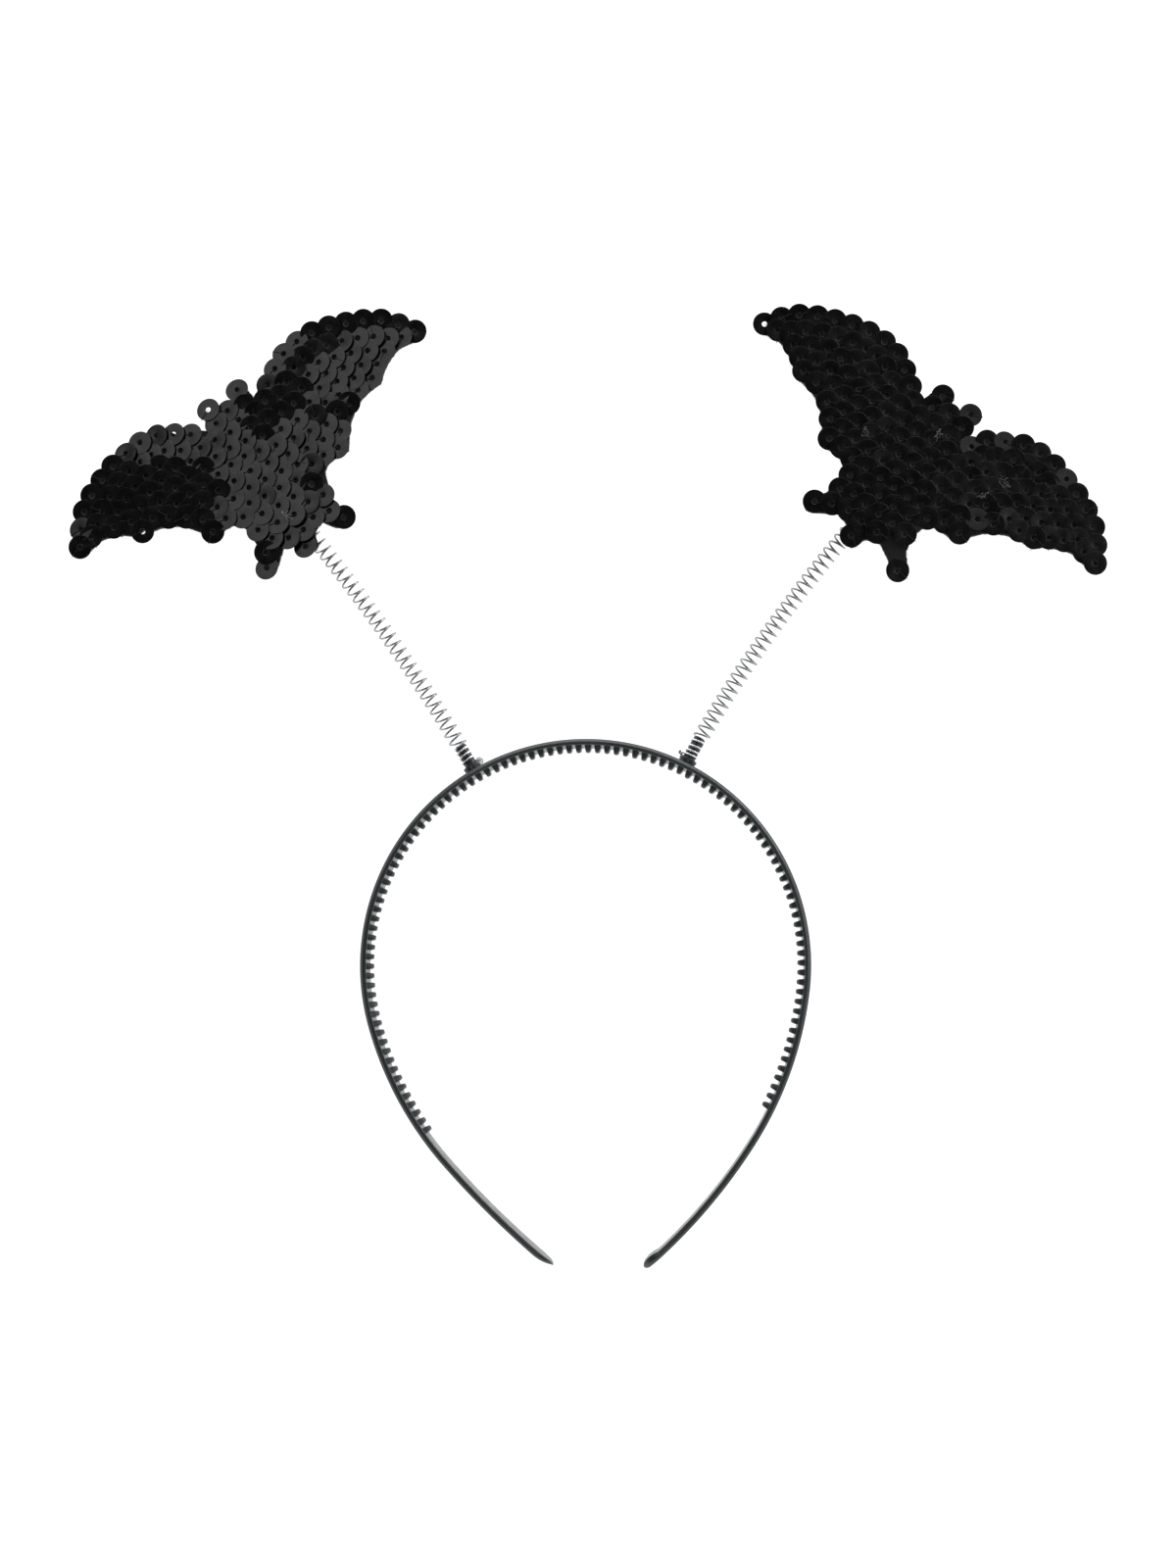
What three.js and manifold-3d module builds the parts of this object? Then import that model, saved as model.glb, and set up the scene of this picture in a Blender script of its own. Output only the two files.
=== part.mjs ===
// Bat headband lying flat: a toothed plastic hair band with two sequinned felt bats on coil springs.
// Millimetres, +Z up, +Y from the band's open end towards the bats.
// Plan positions are measured from the centre of the band's round part.

import * as THREE from "three";
import { mergeVertices } from "three/addons/utils/BufferGeometryUtils.js";
import Module from "manifold-3d";

const wasm = await Module();
wasm.setup();

// Hair band: a strip on edge, whose outer edge follows three arcs on each side of its top
const STRIP_DEEP = 8;
const STRIP_THICK = 1.65;
const STRIP_BEVEL = { wide: 0.85, deep: 0.7 };
const ROUND_RADIUS = 56.3;
const ROUND_HALF_ANGLE = 102;
const SHOULDER_LENGTH = 40;
const BAND_TURN = 4.2;
const STATION_STEP = 7.2;
const TIP = { length: 5.5, stations: 4, rounding: 0.97, bevel_share: 0.6, slim_share: 0.6 };

// Comb teeth on the inner face, each raked so that its end stands high
const TOOTH_COUNT = 105;
const TOOTH_ROW_HALF = 130.1;
const TOOTH_LONG = 1.65;
const TOOTH_SUNK = 0.4;
const TOOTH_FOOT = { wide: 1.68, low: 0.7, high: 7.3 };
const TOOTH_END = { wide: 0.95, low: 4.4, high: 6.2 };

// Pegs that the springs are pushed on to
const PEG_RADIUS = 1.4;
const PLINTH = { radius: 2.2, high: 1.5, sunk: 0.7 };
const PEG_SIDES = 12;

// Springs: a bent axis for each side, from the foot of its peg to under the bat
const WIRE_RADIUS = 0.27;
const WIRE_SIDES = 5;
const COIL_RADIUS = 2;
const COIL_STEPS = 9;
const COIL_SAMPLES = 60;
const COIL_CLEAR = 0.6;
const PEG_COILS = 4;
const PEG_PITCH = 1.4;
const COIL_START = PLINTH.high + COIL_CLEAR;

// Bats: felt with a layer of sequins on it, both drawn from one even pattern
const FELT_THICK = 1.3;
const LAYER_THICK = 1;
const LAYER_GAP = 0.3;
const SEQUIN_RADIUS = 3.1;
const SEQUIN_SIDES = 10;
const SEQUIN_PITCH = 4.6;
const TIP_ACROSS = 52.8;
const SPRING_CLEAR = 0.35;
const HOLD_HEIGHT = STRIP_DEEP / 2 + COIL_RADIUS + WIRE_RADIUS + SPRING_CLEAR;
const HOLD_UP = -25.5;
const HEAD_UP = 13.5;

// Where the legs are on the pattern, so that they can be tucked in and lifted
const LEG = { top: -24, long: 7, inside: 5, ease: 5 };

// What differs from side to side. Pairs under shape are for a bat's two halves, minus and plus across.
const SIDES = [
  {
    side: "left",
    arm: { shoulder: 87.7, radius: 234.2, length: 36, swell: 0, slim: 1 },
    peg: { angle: -25.8, high: 7.4 },
    spring: { bend: [-46.9, 80.8], end: [-71.1, 110.8], pitch: 2.38 },
    bat: { at: [-88.2, 136.6], turn: 33, size: 1.017 },
    shape: { spread: [0.97, 0.966], shift: -0.3, lean: 0.03, tuck: [0.4, 2.4], lift: 0 },
  },
  {
    side: "right",
    arm: { shoulder: 90.6, radius: 139.2, length: 40.6, swell: 0.5, slim: 0 },
    peg: { angle: 31.2, high: 7.6 },
    spring: { bend: [42.5, 80.7], end: [69, 111.7], pitch: 2.22 },
    bat: { at: [88.7, 132.9], turn: -37.7, size: 0.985 },
    shape: { spread: [1.024, 0.998], shift: -0.9, lean: -0.01, tuck: [0, -0.8], lift: 0.7 },
  },
];

// Half of the felt's outline from the middle of the head to the tail: smooth stretches that meet in corners,
// each point as [across, up].
const FELT_HALF = [
  { stretch: "ear", points: [[0, 11.3], [2.2, 11.9], [4.4, 14.1], [6.7, 11.9], [7.4, 7.3]] },
  {
    stretch: "wing top",
    points: [[7.4, 7.3], [11.9, 10.6], [20, 15.7], [29.4, 16.2], [38.9, 13.4], [47.7, 8.6], [54, 1]],
  },
  { stretch: "wing tip", points: [[54, 1], [53.2, -2], [47.2, -1.3], [41.6, -3.5], [37.8, -6.8]] },
  { stretch: "wing web", points: [[37.8, -6.8], [31.5, -7.8], [25.9, -11.5], [21.1, -18.1]] },
  { stretch: "flank", points: [[21.1, -18.1], [14.7, -18.4], [12.3, -21.9], [12.4, -28.5]] },
  { stretch: "leg", points: [[12.4, -28.5], [15.2, -33.3], [13, -35.3], [6.3, -30.7]] },
  { stretch: "tail", points: [[6.3, -30.7], [3, -31.9], [1.6, -35.4], [0, -35.9]] },
];
const FELT_STEP = 4;

// Line of the sequins along the top of a wing, for the even pattern
const WING_ROW = [[12.2, 9.1], [20.3, 14.2], [29.4, 14.6], [38.6, 11.8], [47.2, 7.1], [52.8, 0]];

// Centres of the sequins at the points of each bat, where that bat has them
const POINT_SEQUINS = [
  { place: "ears", left: [[-4.6, 12.4], [4.4, 12.7]], right: [[-5, 12.2], [3.8, 12.5]] },
  { place: "web points", left: [[-35.4, -6.1], [35.1, -4.7]], right: [[-37.9, -4.5], [36.2, -4.5]] },
  { place: "wing roots", left: [[-20.2, -17], [18, -16.3]], right: [[-21.3, -15.8], [20.3, -15.7]] },
  { place: "legs", left: [[-13.6, -33.1], [9.7, -33]], right: [[-14.1, -31.9], [13.7, -33.6]] },
  { place: "tail", left: [[-2.5, -33.9]], right: [[-1.1, -33.5]] },
];

// Grid that the bats are draped on, and how far the cutting shapes reach up and down
const DRAPE = { width: 120, cells_across: 8, cell_up: 13, cells_up: 5 };
const CUT_REACH = 30;

const PLASTIC = new THREE.MeshStandardMaterial({ color: 0x1b2120, roughness: 0.4, metalness: 0 });
const STEEL = new THREE.MeshStandardMaterial({ color: 0xb9bcbe, roughness: 0.3, metalness: 1 });
const FELT = new THREE.MeshStandardMaterial({ color: 0x121212, roughness: 0.95, metalness: 0 });
const SEQUIN = new THREE.MeshStandardMaterial({ color: 0x0d0d0e, roughness: 0.25, metalness: 0 });

const rad = THREE.MathUtils.degToRad;
const share01 = (value) => THREE.MathUtils.clamp(value, 0, 1);
const vec2 = ([x, y]) => new THREE.Vector2(x, y);

// A closed geometry as a solid
function solid(geometry) {
  const bare = new THREE.BufferGeometry();
  const source = geometry.index ? geometry.toNonIndexed() : geometry;
  bare.setAttribute("position", source.getAttribute("position"));
  const merged = mergeVertices(bare, 1e-4);
  return new wasm.Manifold(
    new wasm.Mesh({
      numProp: 3,
      vertProperties: new Float32Array(merged.attributes.position.array),
      triVerts: new Uint32Array(merged.index.array),
    }),
  );
}

// A solid as a mesh with a name
function meshOf(shape, name, material) {
  const made = shape.getMesh();
  const geometry = new THREE.BufferGeometry();
  geometry.setAttribute("position", new THREE.BufferAttribute(made.vertProperties, 3));
  geometry.setIndex(new THREE.BufferAttribute(made.triVerts, 1));
  const mesh = new THREE.Mesh(geometry, material);
  mesh.name = name;
  return mesh;
}

// A closed skin over rings of equal point counts, with flat fans on the two ends
function loft(rings) {
  const size = rings[0].length;
  const index = [];
  for (let r = 0; r + 1 < rings.length; r++) {
    for (let i = 0; i < size; i++) {
      const a = r * size + i;
      const b = r * size + ((i + 1) % size);
      index.push(a, b, b + size, a, b + size, a + size);
    }
  }
  const last = (rings.length - 1) * size;
  for (let i = 1; i + 1 < size; i++) {
    index.push(0, i + 1, i);
    index.push(last, last + i, last + i + 1);
  }
  const geometry = new THREE.BufferGeometry().setFromPoints(rings.flat());
  geometry.setIndex(index);
  return geometry;
}

const ROUND = { radius: ROUND_RADIUS, length: ROUND_RADIUS * rad(ROUND_HALF_ANGLE) };
const [LEFT_END, RIGHT_END] = SIDES.map(({ arm }) => ROUND.length + SHOULDER_LENGTH + arm.length);

// A point of the band: how far along its outer edge from the top, left of it negative, how far in from
// that edge, and how high.
function bandPoint(along, inset, z) {
  const { arm } = SIDES[along < 0 ? 0 : 1];
  let rest = Math.abs(along);
  let heading = 0;
  const p = new THREE.Vector2(0, ROUND_RADIUS);
  const shoulder = { radius: arm.shoulder, length: SHOULDER_LENGTH };
  for (const { radius, length } of [ROUND, shoulder, arm]) {
    const step = Math.min(rest, length);
    const turn = step / radius;
    const course = heading - turn / 2;
    const chord = 2 * radius * Math.sin(turn / 2);
    p.x += chord * Math.cos(course);
    p.y += chord * Math.sin(course);
    heading -= turn;
    rest -= step;
  }
  p.x += inset * Math.sin(heading);
  p.y -= inset * Math.cos(heading);
  return new THREE.Vector3(along < 0 ? -p.x : p.x, p.y, z);
}

// The strip's six-sided section at one place. Towards a tip it rounds off, and slims or swells as its side
// does.
function stripSection(along) {
  const { arm } = SIDES[along < 0 ? 0 : 1];
  const end = along < 0 ? LEFT_END : RIGHT_END;
  const into_tip = Math.max(0, Math.abs(along) - (end - TIP.length)) / TIP.length;
  const half = (STRIP_DEEP / 2) * Math.sqrt(1 - TIP.rounding * into_tip ** 2);
  const outer = arm.slim * into_tip ** 2;
  const inner = STRIP_THICK + arm.swell * Math.sin(Math.PI * into_tip);
  const flat = outer + (1 - TIP.slim_share * outer) * STRIP_BEVEL.wide;
  const deep = Math.min(STRIP_BEVEL.deep, TIP.bevel_share * half);
  const corners = [
    [outer, half - deep],
    [flat, half],
    [inner, half],
    [inner, -half],
    [flat, -half],
    [outer, deep - half],
  ];
  return corners.map(([inset, up]) => bandPoint(along, inset, STRIP_DEEP / 2 + up));
}

function stripSolid() {
  const first = TIP.length - LEFT_END;
  const last = RIGHT_END - TIP.length;
  const plain = Math.ceil((last - first) / STATION_STEP);
  const places = [];
  for (let i = TIP.stations; i > 0; i--) places.push(first - (TIP.length * i) / TIP.stations);
  for (let i = 0; i <= plain; i++) places.push(first + ((last - first) * i) / plain);
  for (let i = 1; i <= TIP.stations; i++) places.push(last + (TIP.length * i) / TIP.stations);
  return solid(loft(places.map(stripSection)));
}

// A tooth narrows from the strip to its end
function toothSolid(along) {
  const ring = (inset, { wide, low, high }) => {
    const corners = [[0.5, high], [-0.5, high], [-0.5, low], [0.5, low]];
    return corners.map(([a, z]) => bandPoint(along + a * wide, inset, z));
  };
  const foot = ring(STRIP_THICK - TOOTH_SUNK, TOOTH_FOOT);
  const end = ring(STRIP_THICK + TOOTH_LONG, TOOTH_END);
  return solid(loft([foot, end]));
}

// Where a peg stands on the band's outer edge
function pegFoot({ angle }) {
  return new THREE.Vector2(0, ROUND_RADIUS).rotateAround(new THREE.Vector2(), rad(BAND_TURN - angle));
}

// A peg points along its spring's first stretch
function pegSolid({ peg, spring }) {
  const foot = pegFoot(peg);
  const aim = vec2(spring.bend).sub(foot).angle() - Math.PI / 2;
  const plinth_long = PLINTH.high + PLINTH.sunk;
  const plinth = new THREE.CylinderGeometry(PLINTH.radius, PLINTH.radius, plinth_long, PEG_SIDES);
  plinth.translate(0, plinth_long / 2 - PLINTH.sunk, 0);
  const pin = new THREE.CylinderGeometry(PEG_RADIUS, PEG_RADIUS, peg.high, PEG_SIDES);
  pin.translate(0, peg.high / 2, 0);
  const both = [plinth, pin].map((geometry) => {
    geometry.rotateZ(aim);
    geometry.translate(foot.x, foot.y, STRIP_DEEP / 2);
    return solid(geometry);
  });
  return both[0].add(both[1]);
}

function headband() {
  let shape = stripSolid();
  const pitch = (2 * TOOTH_ROW_HALF) / (TOOTH_COUNT - 1);
  for (let i = 0; i < TOOTH_COUNT; i++) shape = shape.add(toothSolid(i * pitch - TOOTH_ROW_HALF));
  shape = shape.rotate([0, 0, BAND_TURN]);
  for (const row of SIDES) shape = shape.add(pegSolid(row));
  return meshOf(shape, "headband", PLASTIC);
}

// The wire's right-handed path: close coils on the peg, then open ones at the side's own pitch
class CoilCurve extends THREE.Curve {
  constructor(axis, pitch) {
    super();
    this.axis = axis;
    this.pitch = pitch;
    this.axis_long = axis.getLength();
    const open = this.axis_long - COIL_START - PEG_COILS * PEG_PITCH;
    this.turns = PEG_COILS + open / pitch;
    this.arcLengthDivisions = Math.round(this.turns * COIL_SAMPLES);
  }
  getPoint(t, target = new THREE.Vector3()) {
    const turn = t * this.turns;
    const on_peg = Math.min(turn, PEG_COILS);
    const travel = COIL_START + on_peg * PEG_PITCH + (turn - on_peg) * this.pitch;
    const u = Math.min(1, travel / this.axis_long);
    const along = this.axis.getTangentAt(u);
    const up = new THREE.Vector3(0, 0, 1);
    const across = new THREE.Vector3().crossVectors(up, along);
    const angle = 2 * Math.PI * turn;
    return target
      .copy(this.axis.getPointAt(u))
      .addScaledVector(across, COIL_RADIUS * Math.cos(angle))
      .addScaledVector(up, COIL_RADIUS * Math.sin(angle));
  }
}

function springMesh({ side, peg, spring }) {
  const z = STRIP_DEEP / 2;
  const foot = pegFoot(peg);
  const axis = new THREE.QuadraticBezierCurve3(
    new THREE.Vector3(foot.x, foot.y, z),
    new THREE.Vector3(...spring.bend, z),
    new THREE.Vector3(...spring.end, z),
  );
  const path = new CoilCurve(axis, spring.pitch);
  const section = new THREE.Shape();
  section.absarc(0, 0, WIRE_RADIUS, 0, 2 * Math.PI);
  const ring = new THREE.Shape(section.getSpacedPoints(WIRE_SIDES).slice(0, WIRE_SIDES));
  const steps = Math.round(path.turns * COIL_STEPS);
  const wire = new THREE.ExtrudeGeometry(ring, { steps, extrudePath: path, bevelEnabled: false });
  return meshOf(solid(wire), "spring_" + side, STEEL);
}

// A point of the even pattern, moved to where a bat has it: the wings drawn in or out, the body moved and
// leaned between the wing tips, and the legs tucked in and lifted.
function batPoint([across, up], { spread, shift, lean, tuck, lift }) {
  const half = across < 0 ? 0 : 1;
  const body = share01(1 - Math.abs(across) / TIP_ACROSS);
  const leg = share01((LEG.top - up) / LEG.long) * share01((Math.abs(across) - LEG.inside) / LEG.ease);
  const moved = spread[half] * across + (shift + lean * up) * body - Math.sign(across) * tuck[half] * leg;
  return new THREE.Vector2(moved, up + lift * leg);
}

const mirrored = ([across, up]) => [-across, up];

function feltOutline(shape) {
  const half = [];
  for (const { points } of FELT_HALF) {
    const curve = new THREE.SplineCurve(points.map(vec2));
    const count = Math.max(3, Math.round(curve.getLength() / FELT_STEP));
    half.push(...curve.getSpacedPoints(count).slice(0, count));
  }
  const right = half.map((p) => p.toArray());
  const left = right.slice(1).reverse().map(mirrored);
  const tail = FELT_HALF.at(-1).points.at(-1);
  return [...right, tail, ...left].map((p) => batPoint(p, shape));
}

function edgeSequins({ side, shape }) {
  const row = new THREE.SplineCurve(WING_ROW.map(vec2));
  const wing = row.getSpacedPoints(Math.round(row.getLength() / SEQUIN_PITCH)).map((p) => p.toArray());
  const rows = [...wing, ...wing.map(mirrored)].map((p) => batPoint(p, shape));
  return [...rows, ...POINT_SEQUINS.flatMap((place) => place[side]).map(vec2)];
}

// An upright prism that reaches well below and above the bat
function prism(points) {
  const options = { depth: 2 * CUT_REACH, bevelEnabled: false };
  const geometry = new THREE.ExtrudeGeometry(new THREE.Shape(points), options);
  geometry.translate(0, 0, -CUT_REACH);
  return solid(geometry);
}

function disc(centre) {
  const ring = new THREE.Shape().absarc(centre.x, centre.y, SEQUIN_RADIUS, 0, 2 * Math.PI);
  return prism(ring.getSpacedPoints(SEQUIN_SIDES).slice(0, SEQUIN_SIDES));
}

// Height of the felt's underside: held up by the spring at the tail, down on the floor at head and wing tips
function drape(across, up) {
  const ramp = share01((HEAD_UP - up) / (HEAD_UP - HOLD_UP));
  const droop = Math.max(0, 1 - (across / TIP_ACROSS) ** 2);
  return HOLD_HEIGHT * ramp * droop;
}

// Everything below the draped surface, raised by a given amount
function below(raised) {
  const tall = 4 * CUT_REACH;
  const high = DRAPE.cell_up * DRAPE.cells_up;
  const block = new THREE.BoxGeometry(DRAPE.width, high, tall, DRAPE.cells_across, DRAPE.cells_up, 1);
  block.translate(0, HOLD_UP - DRAPE.cell_up + high / 2, 0);
  const position = block.getAttribute("position");
  for (let i = 0; i < position.count; i++) {
    if (position.getZ(i) > 0) position.setZ(i, drape(position.getX(i), position.getY(i)) + raised);
  }
  return solid(block);
}

function batGroup(row) {
  const { side, bat } = row;
  const felt = prism(feltOutline(row.shape));
  let layer = felt;
  for (const centre of edgeSequins(row)) layer = layer.add(disc(centre));
  const layer_low = FELT_THICK + LAYER_GAP;
  const felt_solid = felt.intersect(below(FELT_THICK)).subtract(below(0));
  const layer_solid = layer.intersect(below(layer_low + LAYER_THICK)).subtract(below(layer_low));
  const group = new THREE.Group();
  group.position.set(...bat.at, 0);
  group.rotation.z = rad(bat.turn);
  group.scale.set(bat.size, bat.size, 1);
  group.add(meshOf(felt_solid, "bat_" + side + "_felt", FELT));
  group.add(meshOf(layer_solid, "bat_" + side + "_sequins", SEQUIN));
  return group;
}

const part = new THREE.Group();
part.add(headband());
for (const row of SIDES) part.add(springMesh(row), batGroup(row));

// The part stands with the middle of its box's floor at the origin
const box = new THREE.Box3().setFromObject(part, true);
const middle = box.getCenter(new THREE.Vector3());
part.position.set(-middle.x, -middle.y, -box.min.z);

export default part;
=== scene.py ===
import math

import bmesh
import bpy
import numpy as np
from mathutils import Matrix, Vector
from mathutils.geometry import delaunay_2d_cdt


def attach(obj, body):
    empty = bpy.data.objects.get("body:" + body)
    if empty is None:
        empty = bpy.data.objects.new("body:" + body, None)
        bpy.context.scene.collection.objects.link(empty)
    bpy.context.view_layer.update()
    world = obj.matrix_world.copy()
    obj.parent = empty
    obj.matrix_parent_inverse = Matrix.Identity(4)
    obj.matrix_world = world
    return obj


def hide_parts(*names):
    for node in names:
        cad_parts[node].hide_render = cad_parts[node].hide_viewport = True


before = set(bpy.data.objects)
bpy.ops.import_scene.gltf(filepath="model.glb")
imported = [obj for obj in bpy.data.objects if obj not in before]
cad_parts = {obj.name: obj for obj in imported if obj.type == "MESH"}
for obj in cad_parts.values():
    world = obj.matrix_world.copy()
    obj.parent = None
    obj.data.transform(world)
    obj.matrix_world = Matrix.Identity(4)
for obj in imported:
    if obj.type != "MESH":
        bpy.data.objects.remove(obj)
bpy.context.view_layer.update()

# Sizes are in millimetres, in the drawing that the solids are made from
MM = 0.001
ORIGIN = np.array([1.013, -47.930, 0.0])

# Curves and corners, and values too small to count
CURVE_SAMPLES = 24
CORNER_STEPS = (0.0, 0.33, 0.67, 1.0)
CORNER_LIMIT = 0.45
UPRIGHT = 1e-3
SAME_PLACE = 1e-6
TINY = 1e-9

# Hair band
STRIP_DEEP = 8.0
STRIP_THICK = 1.65
STRIP_BEVEL = {"wide": 0.85, "deep": 0.7, "deep_limit": 0.6, "slim_share": 0.6}
CORNER_CUT = 0.3
ROUND_RADIUS = 56.3
ROUND_HALF_ANGLE = 102.0
SHOULDER_LENGTH = 40.0
ARM_SPARE = 10
BAND_TURN = 4.2
STATION_STEP = 1.2
TIP = {"length": 5.5, "stations": 14, "rounding": 0.97, "thinning": 0.9, "thin_from": 0.75}
TOOTH_COUNT = 105
TOOTH_ROW_HALF = 130.1
TOOTH_CUT = 0.22

# Rings of a tooth from foot to tip: how far past the strip's inner face, how wide, lowest and highest
TOOTH_RINGS = [
    {"out": -0.4, "wide": 1.78, "low": 0.5, "high": 7.4},
    {"out": 0.02, "wide": 1.64, "low": 0.8, "high": 7.2},
    {"out": 0.38, "wide": 1.52, "low": 1.1, "high": 7.05},
    {"out": 0.88, "wide": 1.38, "low": 1.9, "high": 6.85},
    {"out": 1.32, "wide": 1.22, "low": 3.0, "high": 6.6},
    {"out": 1.6, "wide": 1.0, "low": 4.2, "high": 6.3},
    {"out": 1.75, "wide": 0.6, "low": 5.0, "high": 5.9},
]

# Pegs: outline of plinth and pin as radius and height, with the pin's end given from its own top
PEG_SIDES = 28
PLINTH_LINE = [
    (2.1, -0.8), (2.12, 0.1), (2.2, 0.45), (2.32, 0.85),
    (2.38, 1.15), (2.34, 1.36), (2.15, 1.48), (1.9, 1.5),
]
PIN_LINE = [(1.66, 1.52), (1.62, 1.75)]
PIN_END = [(1.58, -0.7), (1.45, -0.3), (1.15, -0.07), (0.7, 0.0)]

# Springs
WIRE_RADIUS = 0.27
WIRE_SIDES = 10
COIL_RADIUS = 2.0
COIL_STEPS = 30
AXIS_STEPS = 800
PEG_COILS = 4.0
PEG_PITCH = 1.4
COIL_START = 2.1

# The eye at the wire's first end: its radius inside, how far out and back it lies, and how it sinks
WIRE_LOOP = {"inner": 0.25, "out": 2.6, "back": 0.1, "turn": 400.0, "steps": 32, "rise": (1.1, 0.1)}

# Drop of glue at the foot of the left peg: how far to its side and along it, how high, its half sizes
BEAD = {
    "side": "left", "out": 2.43, "along": 1.2, "high": 5.2,
    "half": (1.0, 0.95, 0.9), "rings": 12, "sides": 20, "pole": 0.12,
}

# Bats: felt, and how it drapes from the spring at the tail down to the table
FELT_THICK = 1.3
TIP_ACROSS = 52.8
HOLD_HEIGHT = 6.62
HOLD_UP = -25.5
HEAD_UP = 13.5
LEG_TOP = -24.0
LEG_LONG = 7.0
LEG_ACROSS = {"from": 5, "fade": 5}
FIELD = {"across": (-54, 55), "up": (-37, 17)}
FELT = {"step": 0.7, "fray": 0.05, "grid": 2.4, "grid_margin": 1.0, "pile": 0.04, "weld": 1e-4}
HOLE_NOTCH = 2.3
NOTCH_AIM = {"across_share": 0.4, "up": -2.0}

# Fibres along the felt's cut edge
FUZZ = {
    "step": 0.3, "each": 2, "long": (0.25, 0.95), "out": (0.4, 1.0), "sway": 0.8, "bend": 0.5,
    "root": 0.15, "low": 0.15, "below_top": 0.1, "rise": (0.05, 0.3), "least_high": 0.05,
    "along": (0, 0.35, 0.7, 1.0), "thick": 0.016, "sides": 3, "probe": 0.2,
}

# The two sides: a spring's opening draws its first coils on the peg together, and its lean tips them all
SIDES = {
    "left": {
        "arm": {"shoulder": 87.7, "radius": 234.2, "length": 36.0, "swell": 0.0, "slim": 1.0},
        "peg": {"angle": -25.8, "high": 7.4},
        "spring": {
            "bend": (-46.9, 80.8), "end": (-71.1, 110.8), "pitch": 2.38,
            "opening": 0.0, "start": 180.0, "lean": 0.09, "eye": 0.5,
        },
        "bat": {
            "at": (-88.2, 136.6), "turn": 33.0, "size": 1.017,
            "spread": (0.97, 0.966), "shift": -0.3, "lean": 0.03,
        },
        "legs": {"minus": 0.4, "plus": 2.4, "lift": 0.0},
        "seeds": {"felt": 5, "fuzz": 31, "sequins": 11, "knots": 41},
    },
    "right": {
        "arm": {"shoulder": 90.6, "radius": 139.2, "length": 40.6, "swell": 0.5, "slim": 0.0},
        "peg": {"angle": 31.2, "high": 7.6},
        "spring": {
            "bend": (42.5, 80.7), "end": (69.0, 111.7), "pitch": 2.22,
            "opening": 0.45, "start": 0.0, "lean": 0.04, "eye": 0.45,
        },
        "bat": {
            "at": (88.7, 132.9), "turn": -37.7, "size": 0.985,
            "spread": (1.024, 0.998), "shift": -0.9, "lean": -0.01,
        },
        "legs": {"minus": 0.0, "plus": -0.8, "lift": 0.7},
        "seeds": {"felt": 7, "fuzz": 37, "sequins": 23, "knots": 41},
    },
}

# Half of the felt's outline, as smooth stretches of [across, up]
FELT_HALF = [
    {"stretch": "ear", "points": [[0, 11.3], [2.2, 11.9], [4.4, 14.1], [6.7, 11.9], [7.4, 7.3]]},
    {
        "stretch": "wing top",
        "points": [[7.4, 7.3], [11.9, 10.6], [20, 15.7], [29.4, 16.2], [38.9, 13.4], [47.7, 8.6], [54, 1]],
    },
    {"stretch": "wing tip", "points": [[54, 1], [53.2, -2], [47.2, -1.3], [41.6, -3.5], [37.8, -6.8]]},
    {"stretch": "wing web", "points": [[37.8, -6.8], [31.5, -7.8], [25.9, -11.5], [21.1, -18.1]]},
    {"stretch": "flank", "points": [[21.1, -18.1], [14.7, -18.4], [12.3, -21.9], [12.4, -28.5]]},
    {"stretch": "leg", "points": [[12.4, -28.5], [15.2, -33.3], [13, -35.3], [6.3, -30.7]]},
    {"stretch": "tail", "points": [[6.3, -30.7], [3, -31.9], [1.6, -35.4], [0, -35.9]]},
]

# Section of a sequin from its hole's lip over the top, the rim and back underneath: radius, height
SEQUIN_RADIUS = 3.08
SEQUIN_LINE = [
    (0.68, -0.1), (0.72, -0.03), (0.76, 0.015), (0.81, 0.038), (0.88, 0.045), (2.98, 0.045), (3.06, 0.043),
    (SEQUIN_RADIUS, 0.03), (SEQUIN_RADIUS, -0.03), (3.06, -0.045), (0.9, -0.045), (0.7, -0.13),
]
SEQUIN_SIDES = 30
SEQUIN_BEND = 0.035
SEQUIN_LIFT = 0.65
SEQUIN_UNEVEN = (-0.1, 0.14)

# Rows of sequins along each wing's top edge
SEQUIN_PITCH = 4.6
WING_ROW = [[12.2, 9.1], [20.3, 14.2], [29.4, 14.6], [38.6, 11.8], [47.2, 7.1], [52.8, 0]]
SECOND_ROW = {"below": 4.4, "ends": 46}

# Loose sequins: they start on a shaken grid, are pushed apart and then fill what is bare
OUTLINE_STEP = 1.5
LOOSE_GRID = {"columns": np.arange(-13, 14), "rows": np.arange(-10, 6), "row_pitch": 4.1, "shake": 1.2}
LOOSE_MARGIN = 1.4
LOOSE_FROM_FIXED = {"first": 3.2, "last": 2.7}
SETTLE = {"rounds": 30, "apart": 4.9, "push": 0.22, "margin": 2.4, "from_edge": 0.5}
COVER = {"reach": 3.05, "grid": 0.9, "edge": 1.5, "rounds": 40}

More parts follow.
